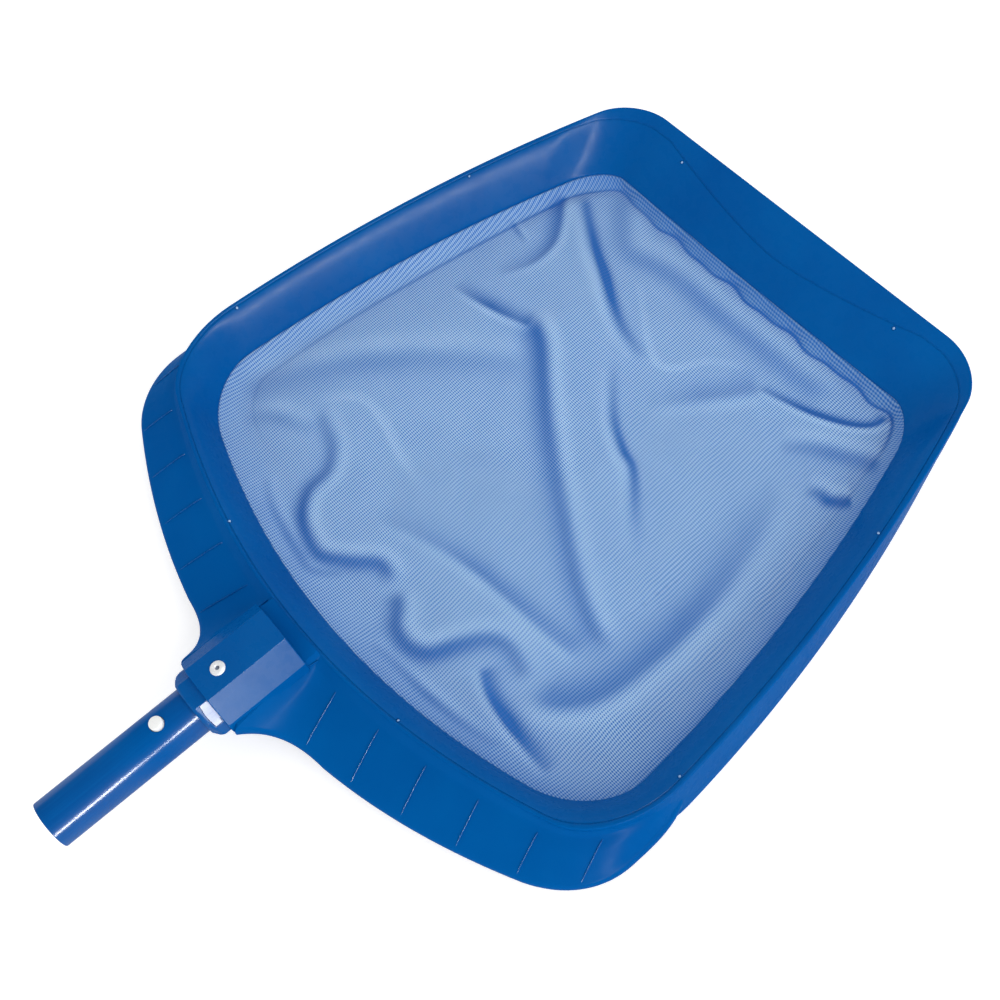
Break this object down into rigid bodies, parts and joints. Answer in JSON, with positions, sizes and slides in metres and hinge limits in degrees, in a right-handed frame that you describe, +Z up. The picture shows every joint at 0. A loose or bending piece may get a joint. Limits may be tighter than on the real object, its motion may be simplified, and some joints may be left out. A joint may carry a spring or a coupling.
{
  "type": "leaf skimmer net",
  "caption": "Flat leaf skimmer: a bowed moulded scoop with a wide lip, a clamped fine mesh, a ribbed rear flange and a faceted socket holding a short tube with snap buttons.",
  "frame": {"origin": "middle of the length and of the width, in the plane of the foot rim the scoop lies on", "axes": "+Y from the tube's free end to the lip, +Z up out of the scoop, +X to the right seen from the tube"},
  "size_m": [0.424, 0.544, 0.0548],
  "materials": {
    "frame_plastic": "satin moulded",
    "ring_plastic": "satin moulded",
    "net_fabric": "fine woven mesh",
    "pin_plastic": "natural",
    "tube_anodised": "gloss anodised",
    "sleeve_aluminium": "bare drawn",
    "rivet_aluminium": "bright",
    "mandrel_steel": "dull",
    "clip_steel": "spring steel",
    "button_plastic": "smooth"
  },
  "bodies": {
    "body": {"frame": "frame_plastic", "net_ring": "ring_plastic", "net": "net_fabric", "ring_pins": "pin_plastic", "handle_tube": "tube_anodised", "tube_sleeve": "sleeve_aluminium", "rivet_body": "rivet_aluminium", "rivet_mandrel": "mandrel_steel", "clip_bend": "clip_steel"},
    "snap_top": {"clip_arm_top": "clip_steel", "button_top": "button_plastic"},
    "snap_bottom": {"clip_arm_bottom": "clip_steel", "button_bottom": "button_plastic"}
  },
  "joints": [
    {"name": "press_top", "type": "hinge", "parent": "body", "child": "snap_top", "pos_m": [0, -0.2375, 0.0453], "axis": [-1, 0, 0], "range_deg": [0, 4.6], "stiffness_Nm_per_rad": 6},
    {"name": "press_bottom", "type": "hinge", "parent": "body", "child": "snap_bottom", "pos_m": [0, -0.2375, 0.0217], "axis": [1, 0, 0], "range_deg": [0, 4.6], "stiffness_Nm_per_rad": 6}
  ]
}
